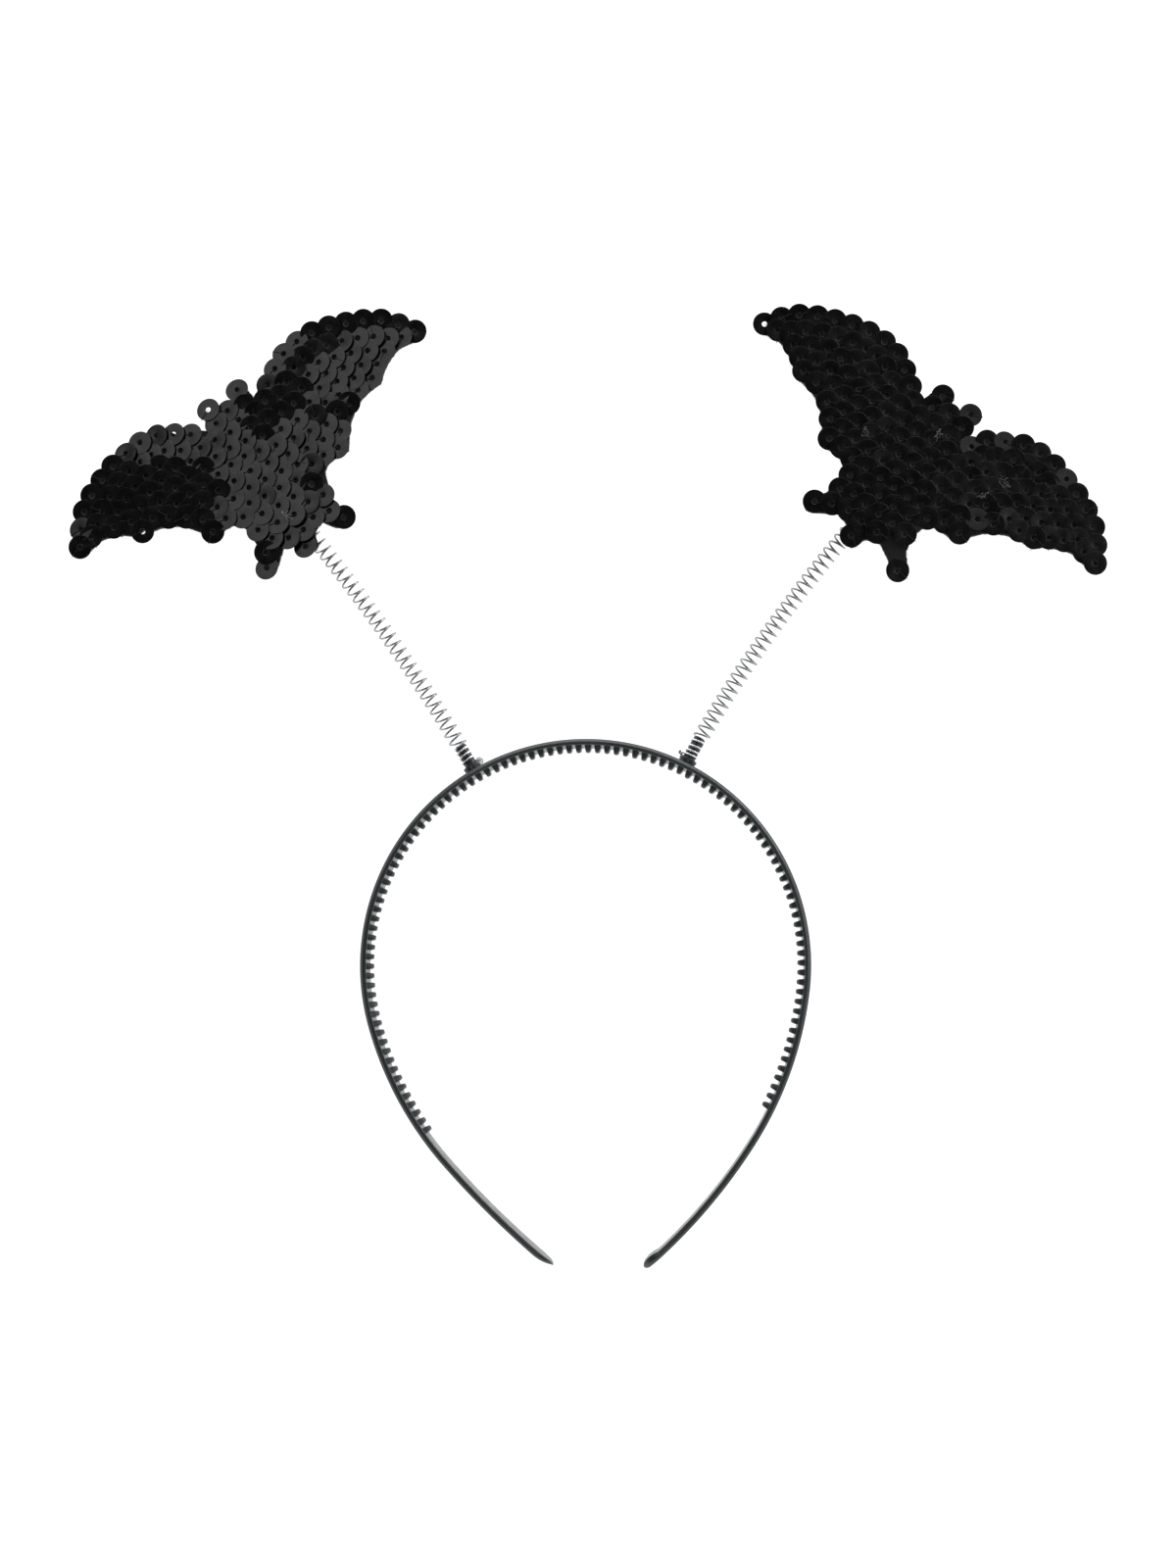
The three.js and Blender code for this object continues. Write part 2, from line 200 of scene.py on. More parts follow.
# Sequins at the points of each bat, and ones that stand out, in the bat's own plan
POINT_SEQUINS = {
    "left": {
        "ears": [(-4.6, 12.4), (4.4, 12.7)],
        "web points": [(-35.4, -6.1), (35.1, -4.7)],
        "wing roots": [(-20.2, -17.0), (18.0, -16.3)],
        "legs": [(-13.6, -33.1), (-11.6, -29.6), (9.7, -33.0)],
        "tail": [(-2.5, -33.9), (-4.9, -29.7)],
        "dark ones": [(3.9, 7.6), (17.7, -5.4), (22.9, -7.7), (7.4, -21.0), (10.1, -16.4), (3.6, -2.4)],
    },
    "right": {
        "ears": [(-5.0, 12.2), (3.8, 12.5)],
        "web points": [(-37.9, -4.5), (36.2, -4.5)],
        "wing roots": [(-21.3, -15.8), (20.3, -15.7)],
        "legs": [(-14.1, -31.9), (13.7, -33.6)],
        "tail": [(-1.1, -33.5)],
        "light ones": [(9.1, 5.3), (21.8, -9.8), (28.3, -4.6)],
    },
}

# Places where a sequin's hole stands clear of the felt
OPEN_HOLES = {
    "left": [(-4.6, 12.4), (-35.4, -6.1), (-15.0, 12.7)],
    "right": [(-54.0, 0.1)],
}

# Lean of the sequins: sideways for all, and up the bat by how far they are lit, 0 for dark and 1 for lit
SHINGLE = 0.11
LIT_LEAN = 0.22
DARK_LEAN = {"left": -0.045, "right": -0.02}
DARK_RAISE = 0.2
LEAN_SPREAD = 0.025
LIT_AS_A_RULE = {"left": 1.0, "right": 0.0}

# Patches of each bat whose sequins lie another way than the rest, in the bat's own plan
PATCHES = {
    "left": [
        {
            "patch": "left wing",
            "corners": [
                (-31.5, 19), (-28.5, 11.3), (-24.3, 7.7), (-18.3, 3.7), (-13, -0.8), (-12.6, -5.6),
                (-13.4, -8.9), (-16.2, -10.7), (-18.3, -15), (-18, -21), (-58, -6), (-55, 12),
            ],
            "lit": 0.0,
        },
        {
            "patch": "right neck",
            "corners": [
                (2.2, 9.5), (6, 10), (8.5, 6.5), (12.5, 7.6), (17.5, 9.6), (24, 12.2), (30, 13), (33.9, 12.5),
                (33.5, 9), (27.2, 8.4), (21, 8.1), (18.5, 5.9), (19.3, 1), (17.3, -1.2), (12.4, -0.4),
                (6.5, -4.2), (0.4, -4.5), (-1.2, -1.5), (1, 1.5), (2, 5.5),
            ],
            "lit": 0.0,
        },
        {
            "patch": "right edge",
            "corners": [
                (26.5, 13), (26.5, 19), (40, 18), (50, 12), (50, 5),
                (46, 5), (40, 8.4), (33.9, 11.8), (30, 13),
            ],
            "lit": -0.22,
        },
        {
            "patch": "right tip",
            "corners": [(50, 12), (57, 3), (55, -5), (49, -4), (48.4, 2.5), (46, 5), (50, 5)],
            "lit": 0.0,
        },
        {
            "patch": "right fold",
            "corners": [(15.7, -3.4), (24.9, -4), (28, -7), (26, -11), (20.5, -9.7), (15.7, -7.4)],
            "lit": 0.0,
        },
        {"patch": "neck edge", "corners": [(9.5, 7.7), (13, 7.7), (13, 11), (9.5, 11)], "lit": 0.35},
        {"patch": "flank", "corners": [(5.4, -23), (9.4, -23), (9.4, -19), (5.4, -19)], "lit": 0.0},
        {
            "patch": "flank above",
            "corners": [(8.1, -18.4), (12.1, -18.4), (12.1, -14.4), (8.1, -14.4)],
            "lit": 0.4,
        },
        {"patch": "right foot", "corners": [(8.2, -36), (13, -36), (13, -31.2), (8.2, -31.2)], "lit": 0.0},
        {
            "patch": "left leg",
            "corners": [(-13.5, -31.3), (-9.5, -31.3), (-9.5, -27.8), (-13.5, -27.8)],
            "lit": 0.0,
        },
        {"patch": "left end", "corners": [(-51, 3), (-47.5, 3), (-47.5, 7), (-51, 7)], "lit": 0.7},
        {
            "patch": "left rise",
            "corners": [(-21.5, 12.2), (-17.5, 12.2), (-17.5, 16), (-21.5, 16)],
            "lit": 0.8,
        },
        {"patch": "tail", "corners": [(-4.5, -36), (-0.5, -36), (-0.5, -32), (-4.5, -32)], "lit": 1.35},
    ],
    "right": [
        {"patch": "right top", "corners": [(31.2, 12), (35.4, 12), (35.4, 16), (31.2, 16)], "lit": 0.9},
        {"patch": "right rise", "corners": [(13, 10.4), (17.2, 10.4), (17.2, 14.6), (13, 14.6)], "lit": 1.0},
        {"patch": "right rise end", "corners": [(17.2, 12), (26, 12), (26, 17.5), (17.2, 17.5)], "lit": 0.25},
        {"patch": "right neck", "corners": [(7, 3.4), (11.2, 3.4), (11.2, 7.8), (7, 7.8)], "lit": 1.0},
        {"patch": "right ear", "corners": [(2, 11), (6, 11), (6, 14), (2, 14)], "lit": 0.6},
        {"patch": "right web", "corners": [(19.5, -12), (24, -12), (24, -8), (19.5, -8)], "lit": 0.45},
        {"patch": "right web end", "corners": [(26, -7), (30.5, -7), (30.5, -2.6), (26, -2.6)], "lit": 0.55},
    ],
}

# Sewing thread from a sequin's hole to past its rim: how far out and how high
THREAD_LINE = [(0, -0.45), (0.25, -0.05), (0.6, 0.17), (1.5, 0.19), (2.4, 0.16), (3.2, 0.1), (3.35, -0.3)]
THREAD = {"share": 0.7, "sway": 0.7, "step": 0.35, "thick": 0.09, "sides": 5}

# Tangles of thread on the sequins, in the bat's own plan
KNOTS = {"left": [(-2.0, -24.5)], "right": [(0.6, 2.6), (22.0, 2.5), (19.1, -4.0), (-15.5, -9.0)]}
KNOT = {
    "above": 1.05, "loops": 7, "bends": 6, "reach": 0.5, "flat": 0.25, "flat_between": 0.2,
    "step": 0.25, "thick": 0.045, "sides": 4,
}

# Felt that is left without sequins, in the bat's own plan
BARE_FELT = {"left": [], "right": [[(5.5, -28.3), (13.2, -25.6), (18, -32), (11, -36)]]}

# Part of a noise's range that the materials use
NOISE_LOW = 0.3
NOISE_HIGH = 0.7

# Stage, in metres: the floor's reach and drop, and the sky's brightness by height
FLOOR_REACH = 6.0
FLOOR_DROP = 0.0003
SKY_STRENGTH = 1.3
SKY = [(0.0, 1.0), (0.25, 0.95), (0.38, 0.3), (0.52, 0.03), (1.0, 0.02)]

# Camera, in metres, with its lens in millimetres
EYE = Vector((0.02622, -0.06093, 0.510))
AIM = Vector((0.00157, -0.00232, 0.0))
LENS = {"long": 46.255, "sensor": 36.0, "nearest": 0.01}


# Building blocks

def catmull(points, step):
    """Evenly spaced points, about step apart, on a smooth curve through the given ones."""
    pts = np.array(points, float)
    dense = []
    for i in range(len(pts) - 1):
        p0, p1 = pts[max(i - 1, 0)], pts[i]
        p2, p3 = pts[i + 1], pts[min(i + 2, len(pts) - 1)]
        v0, v1 = (p2 - p0) / 2, (p3 - p1) / 2
        for t in np.linspace(0, 1, CURVE_SAMPLES, endpoint=False):
            cubic = (2 * p1 - 2 * p2 + v0 + v1) * t**3
            dense.append(cubic + (-3 * p1 + 3 * p2 - 2 * v0 - v1) * t**2 + v0 * t + p1)
    dense.append(pts[-1])
    return spaced(np.array(dense), step)


def spaced(line, step):
    """The same line with its points evenly spaced, about step apart."""
    lengths = np.concatenate([[0], np.cumsum(np.linalg.norm(np.diff(line, axis=0), axis=1))])
    count = max(2, round(lengths[-1] / step))
    at = np.linspace(0, lengths[-1], count + 1)
    return np.stack([np.interp(at, lengths, line[:, k]) for k in range(line.shape[1])], 1)


def rounded(corners, cut):
    """A closed outline with each corner cut back and rounded."""
    pts = np.array(corners, float)
    out = []
    for i, p in enumerate(pts):
        ends = []
        for q in (pts[i - 1], pts[(i + 1) % len(pts)]):
            long = np.linalg.norm(q - p)
            ends.append(p + (q - p) / long * min(cut, CORNER_LIMIT * long))
        for t in CORNER_STEPS:
            out.append((1 - t) ** 2 * ends[0] + 2 * t * (1 - t) * p + t * t * ends[1])
    return np.array(out)


class Body:
    """Vertices and faces of one object, gathered shell by shell."""

    def __init__(self):
        self.verts = []
        self.faces = []
        self.count = 0

    def add(self, verts, faces):
        self.verts.append(np.asarray(verts, float))
        self.faces.extend([tuple(i + self.count for i in face) for face in faces])
        self.count += len(verts)

    def loft(self, rings):
        """A closed skin over rings of equal counts, with a flat face on each end."""
        size = len(rings[0])
        faces = []
        for r in range(len(rings) - 1):
            for i in range(size):
                a, b = r * size + i, r * size + (i + 1) % size
                faces.append((a, b, b + size, a + size))
        faces.append(tuple(range(size - 1, -1, -1)))
        faces.append(tuple((len(rings) - 1) * size + i for i in range(size)))
        self.add(np.concatenate(rings), faces)

    def tube(self, path, radius, sides):
        """A round rod along a path of points."""
        path = np.asarray(path, float)
        ahead = np.gradient(path, axis=0)
        ahead /= np.linalg.norm(ahead, axis=1)[:, None]
        side = np.cross(ahead[0], (0, 0, 1.0))
        if np.linalg.norm(side) < UPRIGHT:
            side = np.cross(ahead[0], (0, 1.0, 0))
        angles = np.linspace(0, 2 * math.pi, sides, endpoint=False)
        rings = []
        for p, t in zip(path, ahead):
            side = side - t * (side @ t)
            side /= np.linalg.norm(side)
            up = np.cross(t, side)
            rings.append(p + radius * (np.outer(np.cos(angles), side) + np.outer(np.sin(angles), up)))
        self.loft(rings)

    def object(self, name, material, smooth_deg):
        mesh = bpy.data.meshes.new(name)
        mesh.from_pydata((np.concatenate(self.verts) * MM).tolist(), [], self.faces)
        work = bmesh.new()
        work.from_mesh(mesh)
        bmesh.ops.recalc_face_normals(work, faces=work.faces)
        work.to_mesh(mesh)
        work.free()
        mesh.polygons.foreach_set("use_smooth", [True] * len(mesh.polygons))
        mesh.set_sharp_from_angle(angle=math.radians(smooth_deg))
        mesh.materials.append(material)
        obj = bpy.data.objects.new(name, mesh)
        bpy.context.scene.collection.objects.link(obj)
        return obj


# Materials

def material(name, colour, roughness, metallic=0.0):
    made = bpy.data.materials.new(name)
    made.use_nodes = True
    shader = made.node_tree.nodes["Principled BSDF"]
    shader.inputs["Base Color"].default_value = (*colour, 1)
    shader.inputs["Roughness"].default_value = roughness
    shader.inputs["Metallic"].default_value = metallic
    return made, made.node_tree, shader


def noise(tree, scale, detail=3.0):
    """A noise value over the object's own millimetres."""
    where = tree.nodes.new("ShaderNodeTexCoord")
    made = tree.nodes.new("ShaderNodeTexNoise")
    made.inputs["Scale"].default_value = scale / MM
    made.inputs["Detail"].default_value = detail
    tree.links.new(where.outputs["Object"], made.inputs["Vector"])
    return made.outputs["Fac"]


def roughened(tree, shader, value, low, high):
    """The shader's roughness, varied by a noise value."""
    made = tree.nodes.new("ShaderNodeMapRange")
    made.inputs["From Min"].default_value = NOISE_LOW
    made.inputs["From Max"].default_value = NOISE_HIGH
    made.inputs["To Min"].default_value = low
    made.inputs["To Max"].default_value = high
    tree.links.new(value, made.inputs["Value"])
    tree.links.new(made.outputs["Result"], shader.inputs["Roughness"])


def tinted(tree, shader, value, dark, light):
    """The shader's colour, varied by a noise value."""
    ramp = tree.nodes.new("ShaderNodeValToRGB")
    ramp.color_ramp.elements[0].position = NOISE_LOW
    ramp.color_ramp.elements[1].position = NOISE_HIGH
    ramp.color_ramp.elements[0].color = (*dark, 1)
    ramp.color_ramp.elements[1].color = (*light, 1)
    tree.links.new(value, ramp.inputs["Fac"])
    tree.links.new(ramp.outputs["Color"], shader.inputs["Base Color"])


def bumped(tree, shader, value, strength, distance_mm):
    """The shader's normal, roughened by a noise value."""
    made = tree.nodes.new("ShaderNodeBump")
    made.inputs["Strength"].default_value = strength
    made.inputs["Distance"].default_value = distance_mm * MM
    tree.links.new(value, made.inputs["Height"])
    tree.links.new(made.outputs["Normal"], shader.inputs["Normal"])


def grey(level):
    return level, level, level


def plastic_material():
    made, tree, shader = material("band_plastic", colour=(0.03, 0.037, 0.038), roughness=0.3)
    tinted(tree, shader, noise(tree, 0.08), dark=(0.026, 0.032, 0.033), light=(0.038, 0.046, 0.048))
    roughened(tree, shader, noise(tree, 0.6), low=0.24, high=0.36)
    bumped(tree, shader, noise(tree, 1.6), strength=0.1, distance_mm=0.03)
    return made


def steel_material(name, dull, bright):
    """Drawn wire between two greys, a touch cool."""
    cool = np.array([1.0, 1.02, 1.04])
    made, tree, shader = material(name, colour=(dull + bright) / 2 * cool, roughness=0.27, metallic=1.0)
    tinted(tree, shader, noise(tree, 0.5), dark=dull * cool, light=bright * cool)
    roughened(tree, shader, noise(tree, 2.0), low=0.22, high=0.32)
    return made


def felt_material():
    made, tree, shader = material("bat_felt", colour=grey(0.005), roughness=0.95)
    shader.inputs["Sheen Weight"].default_value = 0.12
    shader.inputs["Sheen Roughness"].default_value = 0.5
    tinted(tree, shader, noise(tree, 1.2), dark=grey(0.003), light=grey(0.009))
    bumped(tree, shader, noise(tree, 4.0, detail=6.0), strength=0.8, distance_mm=0.12)
    return made


def sequin_material():
    made, tree, shader = material("sequin_black", colour=(0.0022, 0.0022, 0.0024), roughness=0.3)
    roughened(tree, shader, noise(tree, 0.35), low=0.2, high=0.31)
    bumped(tree, shader, noise(tree, 0.9), strength=0.05, distance_mm=0.05)
    return made


def thread_material():
    made, tree, shader = material("thread_black", colour=grey(0.004), roughness=0.8)
    tinted(tree, shader, noise(tree, 6.0), dark=grey(0.002), light=grey(0.008))
    return made


def knot_material():
    made, tree, shader = material("thread_clear", colour=grey(0.2), roughness=0.3)
    tinted(tree, shader, noise(tree, 5.0), dark=grey(0.1), light=grey(0.3))
    return made


def glue_material():
    made, tree, shader = material("glue_clear", colour=(0.93, 0.94, 0.94), roughness=0.15)
    shader.inputs["Transmission Weight"].default_value = 0.65
    bumped(tree, shader, noise(tree, 1.2), strength=0.3, distance_mm=0.1)
    return made


# Hair band

def arm_end(side):
    """How far along the band from its top an arm ends."""
    return ROUND_RADIUS * math.radians(ROUND_HALF_ANGLE) + SHOULDER_LENGTH + SIDES[side]["arm"]["length"]


def band_frame(along):
    """The band's outer edge at a distance from its top, left negative: the point, inward and along."""
    arm = SIDES["left" if along < 0 else "right"]["arm"]
    stretches = [
        (ROUND_RADIUS, ROUND_RADIUS * math.radians(ROUND_HALF_ANGLE)),
        (arm["shoulder"], SHOULDER_LENGTH),
        (arm["radius"], arm["length"] + ARM_SPARE),
    ]
    rest, heading = abs(along), 0.0
    x, y = 0.0, ROUND_RADIUS
    for radius, length in stretches:
        step = min(rest, length)
        turn = step / radius
        chord = 2 * radius * math.sin(turn / 2)
        x += chord * math.cos(heading - turn / 2)
        y += chord * math.sin(heading - turn / 2)
        heading -= turn
        rest -= step
    flip = -1 if along < 0 else 1
    point = np.array([flip * x, y])
    inward = np.array([flip * math.sin(heading), -math.cos(heading)])
    ahead = np.array([math.cos(heading), flip * math.sin(heading)])
    t = math.radians(BAND_TURN)
    turned = np.array([[math.cos(t), -math.sin(t)], [math.sin(t), math.cos(t)]])
    return turned @ point, turned @ inward, turned @ ahead


def strip_ring(along):
    """The strip's section with bevelled outer edges, rounded off and thinned into the tips."""
    side = "left" if along < 0 else "right"
    arm, end = SIDES[side]["arm"], arm_end(side)
    into = max(0.0, abs(along) - (end - TIP["length"])) / TIP["length"]
    half = STRIP_DEEP / 2 * math.sqrt(1 - TIP["rounding"] * into**2)
    swell = arm["swell"] * math.sin(math.pi * into)
    slim = arm["slim"] * into**2
    deep = min(STRIP_BEVEL["deep"], STRIP_BEVEL["deep_limit"] * half)
    bevel = slim + (1 - STRIP_BEVEL["slim_share"] * slim) * STRIP_BEVEL["wide"]
    corners = [
        (slim, half - deep),
        (bevel, half),
        (STRIP_THICK + swell, half),
        (STRIP_THICK + swell, -half),
        (bevel, -half),
        (slim, deep - half),
    ]
    outline = rounded(corners, CORNER_CUT)
    thin_in = max(0.0, into - TIP["thin_from"]) / (1 - TIP["thin_from"])
    thin = math.sqrt(1 - TIP["thinning"] * thin_in**2)
    point, inward, _ = band_frame(along)
    ring = []
    for inset, up in outline:
        inset = STRIP_THICK / 2 + (inset - STRIP_THICK / 2) * thin
        ring.append((*(point + inset * inward), STRIP_DEEP / 2 + up))
    return np.array(ring) + ORIGIN


def tooth_rings(along):
    point, inward, ahead = band_frame(along)
    rings = []
    for row in TOOTH_RINGS:
        wide, low, high = row["wide"] / 2, row["low"], row["high"]
        outline = rounded([(wide, high), (-wide, high), (-wide, low), (wide, low)], TOOTH_CUT)
        ring = [(*(point + (STRIP_THICK + row["out"]) * inward + a * ahead), z) for a, z in outline]
        rings.append(np.array(ring) + ORIGIN)
    return rings


def peg_axes(side):
    """A peg's foot on the band, the way it points and the way across it."""
    t = math.radians(BAND_TURN - SIDES[side]["peg"]["angle"])
    foot = ROUND_RADIUS * np.array([-math.sin(t), math.cos(t)])
    aim = np.array(SIDES[side]["spring"]["bend"]) - foot
    aim /= np.linalg.norm(aim)
    return foot, aim, np.array([aim[1], -aim[0]])


def peg_rings(side):
    foot, aim, across = peg_axes(side)
    high = SIDES[side]["peg"]["high"]
    line = PLINTH_LINE + PIN_LINE + [(r, high + h) for r, h in PIN_END]
    angles = np.linspace(0, 2 * math.pi, PEG_SIDES, endpoint=False)
    rings = []
    for radius, h in line:
        plan = foot + h * aim + radius * np.cos(angles)[:, None] * across
        z = STRIP_DEEP / 2 + radius * np.sin(angles)
        rings.append(np.column_stack([plan, z]) + ORIGIN)
    return rings


def make_band(look):
    body = Body()
    ends = -arm_end("left"), arm_end("right")
    plain = np.arange(ends[0] + TIP["length"], ends[1] - TIP["length"], STATION_STEP)
    into = np.sin(np.linspace(0, math.pi / 2, TIP["stations"])) * TIP["length"]
    places = [*(ends[0] + TIP["length"] - into[:0:-1]), *plain, *(ends[1] - TIP["length"] + into)]
    body.loft([strip_ring(a) for a in places])
    for a in np.linspace(-TOOTH_ROW_HALF, TOOTH_ROW_HALF, TOOTH_COUNT):
        body.loft(tooth_rings(a))
    for side in SIDES:
        body.loft(peg_rings(side))
    return body.object("band_moulding", look, smooth_deg=32)


def make_bead(look):
    """A drop of clear glue that holds the wire's end to the peg."""
    side = BEAD["side"]
    foot, aim, across = peg_axes(side)
    middle = np.array([*(foot + BEAD["along"] * aim + BEAD["out"] * across), BEAD["high"]])
    wide, long, high = BEAD["half"]
    around = np.linspace(0, 2 * math.pi, BEAD["sides"], endpoint=False)
    rings = []
    for t in np.linspace(BEAD["pole"], math.pi - BEAD["pole"], BEAD["rings"]):
        plan = math.sin(t) * (wide * np.outer(np.cos(around), across) + long * np.outer(np.sin(around), aim))
        rings.append(np.column_stack([plan, np.full(len(around), high * math.cos(t))]) + middle + ORIGIN)
    body = Body()
    body.loft(rings)
    return body.object(f"peg_{side}_glue_bead", look, smooth_deg=60)


# Springs

def spring_path(side):
    """The wire's line: its curled end, the close coils on the peg and the open ones out to the bat."""
    row = SIDES[side]["spring"]
    p0, p1, p2 = peg_axes(side)[0], np.array(row["bend"]), np.array(row["end"])
    t = np.linspace(0, 1, AXIS_STEPS)[:, None]
    axis = (1 - t) ** 2 * p0 + 2 * t * (1 - t) * p1 + t * t * p2
    lengths = np.concatenate([[0], np.cumsum(np.linalg.norm(np.diff(axis, axis=0), axis=1))])
    turns = PEG_COILS + (lengths[-1] - COIL_START - PEG_COILS * PEG_PITCH) / row["pitch"]
    turn = np.arange(0, turns, 1 / COIL_STEPS)
    on_peg = np.minimum(turn, PEG_COILS)
    travel = COIL_START + on_peg * PEG_PITCH + (turn - on_peg) * row["pitch"]
    travel -= row["opening"] * on_peg * (1 - on_peg / PEG_COILS)
    centre = np.stack([np.interp(travel, lengths, axis[:, k]) for k in range(2)], 1)
    ahead = np.stack([np.interp(travel, lengths, np.gradient(axis[:, k], lengths)) for k in range(2)], 1)
    ahead /= np.linalg.norm(ahead, axis=1)[:, None]
    across = np.column_stack([-ahead[:, 1], ahead[:, 0]])
    angle = 2 * math.pi * turn + math.radians(row["start"])
    plan = centre + (COIL_RADIUS * np.cos(angle))[:, None] * across
    plan -= (row["lean"] * COIL_RADIUS * np.sin(angle))[:, None] * ahead
    coil = np.column_stack([plan, STRIP_DEEP / 2 + COIL_RADIUS * np.sin(angle)])
    return np.concatenate([end_loop(coil[0], centre[0], ahead[0], row["eye"]), coil]) + ORIGIN


def end_loop(start, centre, ahead, widest):
    """The wire's first end, curled into a small flat eye beside the peg."""
    out = start[:2] - centre
    out /= np.linalg.norm(out)
    eye = centre + WIRE_LOOP["out"] * out - WIRE_LOOP["back"] * ahead
    swing = math.radians(WIRE_LOOP["turn"])
    angles = np.linspace(swing, 0, WIRE_LOOP["steps"])
    radius = np.linspace(WIRE_LOOP["inner"], widest, WIRE_LOOP["steps"])[:, None]
    plan = eye - radius * (np.cos(angles)[:, None] * out + np.sin(angles)[:, None] * ahead)
    rise = np.linspace(*WIRE_LOOP["rise"], WIRE_LOOP["steps"])
    return np.column_stack([plan, STRIP_DEEP / 2 + rise])


def make_spring(side, look, peg_highlight_look):
    """The wire, its eye and first turns on the peg given a far brighter copy of the steel as painted
    highlight.
    """
    body = Body()
    body.tube(spring_path(side), WIRE_RADIUS, WIRE_SIDES)
    made = body.object(f"spring_{side}_wire", look, smooth_deg=50)
    made.data.materials.append(peg_highlight_look)
    # Faces of the eye and the turns on the pin take the brighter copy, a painted highlight
    slots = np.zeros(len(made.data.polygons), int)
    turns_on_pin = (SIDES[side]["peg"]["high"] - COIL_START) / PEG_PITCH
    slots[: (WIRE_LOOP["steps"] + round(turns_on_pin * COIL_STEPS)) * WIRE_SIDES] = 1
    made.data.polygons.foreach_set("material_index", slots.tolist())
    return made


# Bats

def bat_warp(side, points):
    """Points of the even pattern, moved to where this bat has them."""
    bat, legs = SIDES[side]["bat"], SIDES[side]["legs"]
    points = np.asarray(points, float)
    across, up = points[:, 0], points[:, 1]
    share = np.clip(1 - np.abs(across) / TIP_ACROSS, 0, None)
    spread = np.where(across < 0, *bat["spread"])
    moved = spread * across + (bat["shift"] + bat["lean"] * up) * share
    reach = np.clip((LEG_TOP - up) / LEG_LONG, 0, 1)
    reach = reach * np.clip((np.abs(across) - LEG_ACROSS["from"]) / LEG_ACROSS["fade"], 0, 1)
    moved -= reach * np.where(across < 0, -legs["minus"], legs["plus"])
    return np.column_stack([moved, up + reach * legs["lift"]])


def drape(points):
    """How high the felt's underside lies at places of the bat's own plan."""
    across, up = points[:, 0], points[:, 1]
    ramp = np.clip((HEAD_UP - up) / (HEAD_UP - HOLD_UP), 0, 1)
    return HOLD_HEIGHT * ramp * np.clip(1 - (across / TIP_ACROSS) ** 2, 0, None)


def to_part(bat, points):
    """Points of a bat's own plan, with their heights, in the part's frame."""
    t = math.radians(bat["turn"])
    size = bat["size"]
    x = bat["at"][0] + size * (math.cos(t) * points[:, 0] - math.sin(t) * points[:, 1])
    y = bat["at"][1] + size * (math.sin(t) * points[:, 0] + math.cos(t) * points[:, 1])
    return np.column_stack([x, y, points[:, 2]]) + ORIGIN


def felt_outline(side, step):
    half = np.concatenate([catmull(row["points"], step)[:-1] for row in FELT_HALF])
    tail = np.array([FELT_HALF[-1]["points"][-1]], float)
    left = half[:0:-1] * (-1, 1)
    return bat_warp(side, np.concatenate([half, tail, left]))


def bitten(line, centre, radius):
    """The outline with a notch round one place, cut towards the bat's middle."""
    centre = np.array(centre)
    inward = np.array([NOTCH_AIM["across_share"] * centre[0], NOTCH_AIM["up"]]) - centre
    inward /= np.linalg.norm(inward)
    out = line.copy()
    for i, p in enumerate(line):
        off = p - centre
        if off @ off < radius**2:
            b = off @ inward
            out[i] = p + (-b + math.sqrt(b * b - off @ off + radius**2)) * inward
    return out


def cut_outline(side, step):
    """The felt's outline with a notch under each sequin whose hole stands clear."""
    line = felt_outline(side, step)
    for centre in OPEN_HOLES[side]:
        line = bitten(line, centre, HOLE_NOTCH)
    return line


def inside(points, line):
    """Which of the points lie within a closed outline."""
    a, b = line, np.roll(line, -1, axis=0)
    x, y = points[:, 0:1], points[:, 1:2]
    spans = (a[:, 1] > y) != (b[:, 1] > y)
    with np.errstate(divide="ignore", invalid="ignore"):
        cross = (b[:, 0] - a[:, 0]) * (y - a[:, 1]) / (b[:, 1] - a[:, 1]) + a[:, 0]
    return (spans & (x < cross)).sum(1) % 2 == 1


def nearest_on(points, line):
    """For each point, how far the outline is and where."""
    a, b = line, np.roll(line, -1, axis=0)
    d = b - a
    t = ((points[:, None] - a) * d).sum(2) / (d * d).sum(1)
    foot = a + np.clip(t, 0, 1)[..., None] * d
    gap = np.linalg.norm(points[:, None] - foot, axis=2)
    k = gap.argmin(1)
    rows = np.arange(len(points))
    return gap[rows, k], foot[rows, k]


def field(step):
    """A square grid of places over the whole of a bat's plan."""
    across, up = np.meshgrid(np.arange(*FIELD["across"], step), np.arange(*FIELD["up"], step))
    return np.column_stack([across.ravel(), up.ravel()])


def nearest_gap(places, others):
    """For each place, how far the nearest of the others is."""
    return np.linalg.norm(places[:, None] - others, axis=2).min(1)


def clothed(side, places):
    """Those of the places that are not on felt left bare."""
    for corners in BARE_FELT[side]:
        places = places[~inside(places, np.array(corners, float))]
    return places


def settled(loose, fixed, line):
    """Loose places pushed apart, off the fixed ones and in from the felt's edge."""
    margin = SETTLE["margin"]
    for _ in range(SETTLE["rounds"]):
        both = np.concatenate([loose, fixed])
        gap = loose[:, None] - both
        far = np.linalg.norm(gap, axis=2) + TINY
        push = np.clip(SETTLE["apart"] - far, 0, None)
        push[far < SAME_PLACE] = 0
        loose = loose + SETTLE["push"] * (gap / far[..., None] * push[..., None]).sum(1)
        near, foot = nearest_on(loose, line)
        within = inside(loose, line)
        to_edge = (loose - foot) / (near[:, None] + TINY) * np.where(within, 1, -1)[:, None]
        fix = np.where(within, np.clip(margin - near, 0, None), margin + near)
        loose = loose + SETTLE["from_edge"] * fix[:, None] * to_edge
    return loose


